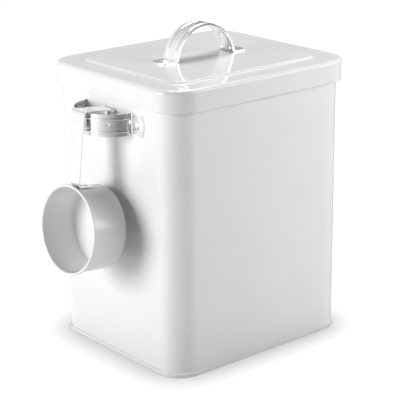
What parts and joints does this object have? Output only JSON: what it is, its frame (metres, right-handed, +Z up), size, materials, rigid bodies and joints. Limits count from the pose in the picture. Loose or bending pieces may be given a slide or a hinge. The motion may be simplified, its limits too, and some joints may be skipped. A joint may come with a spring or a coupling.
{
  "type": "metal storage canister",
  "caption": "Rectangular coated-steel storage canister with a lift-off lid, strap handles and a scoop that hooks over the side handle.",
  "frame": {"origin": "centre of the box's footprint, on the floor plane that the base seam stands on", "axes": "+Z up, -Y the wide plain front, -X the side that carries the side handle and the scoop; the lid handle's arch runs along X"},
  "size_m": [0.2848, 0.198, 0.3171],
  "materials": {
    "white_coat": "glossy",
    "strap_steel": "satin",
    "rivet_steel": "satin"
  },
  "bodies": {
    "canister": {"body_shell": "white_coat", "base_pan": "white_coat", "side_handle": "strap_steel", "side_handle_rivets": "rivet_steel"},
    "lid": {"lid_shell": "white_coat", "lid_handle": "strap_steel", "lid_handle_rivets": "rivet_steel"},
    "scoop": {"scoop_cup": "white_coat", "scoop_handle": "strap_steel", "scoop_rivets": "rivet_steel"}
  },
  "joints": [
    {"name": "lid_lift", "type": "slide", "parent": "canister", "child": "lid", "axis": [0, 0, 1], "range_m": [0, 0.06]},
    {"name": "scoop_lift", "type": "slide", "parent": "canister", "child": "scoop", "axis": [-0.7071, 0, 0.7071], "range_m": [0, 0.1]}
  ]
}
